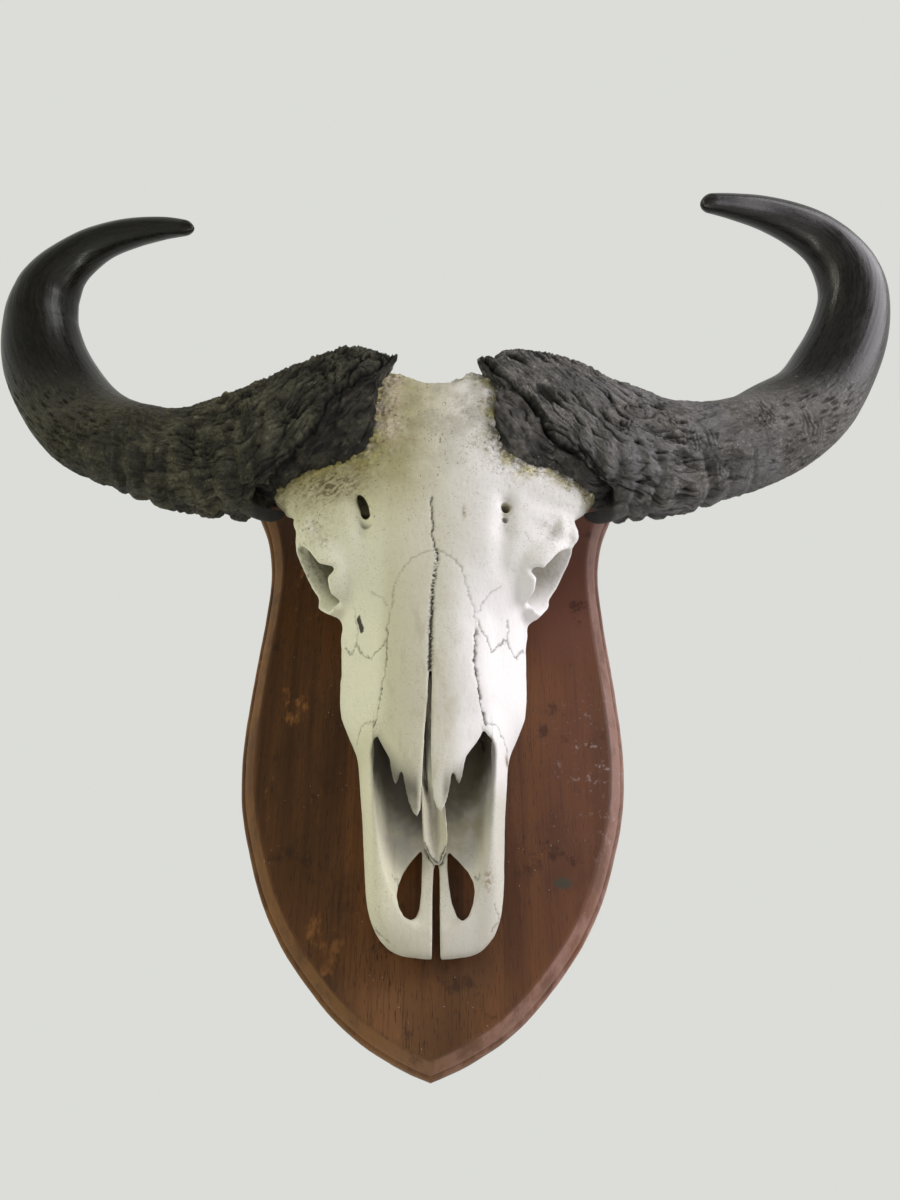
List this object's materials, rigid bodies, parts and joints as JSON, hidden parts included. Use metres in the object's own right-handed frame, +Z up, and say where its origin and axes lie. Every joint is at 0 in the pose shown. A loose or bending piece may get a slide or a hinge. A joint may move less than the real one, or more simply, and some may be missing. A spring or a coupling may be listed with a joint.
{
  "type": "buffalo skull mount",
  "caption": "Life-size African buffalo skull without lower jaw, with both sweeping hooked horns, mounted on a pointed wooden shield that hangs flat on a wall.",
  "frame": {"origin": "middle of the shield's flat back, half way between its foot and its crown", "axes": "+Z up the wall, +Y into the wall out of the shield's back, +X to the viewer's right, which is the animal's left"},
  "size_m": [0.9173, 0.266, 0.8093],
  "materials": {
    "bone": "dry, porous, matt bone, cream white with yellow-brown stains at the horn borders",
    "horn": "grey-black horn sheath, rough and flaking at the base, smooth and glossy at the tips",
    "shield_wood": "red-brown stained hardwood under worn satin varnish"
  },
  "bodies": {
    "root": {"plaque": "shield_wood", "skull": "bone", "horn_left": "horn", "horn_right": "horn"}
  },
  "joints": []
}
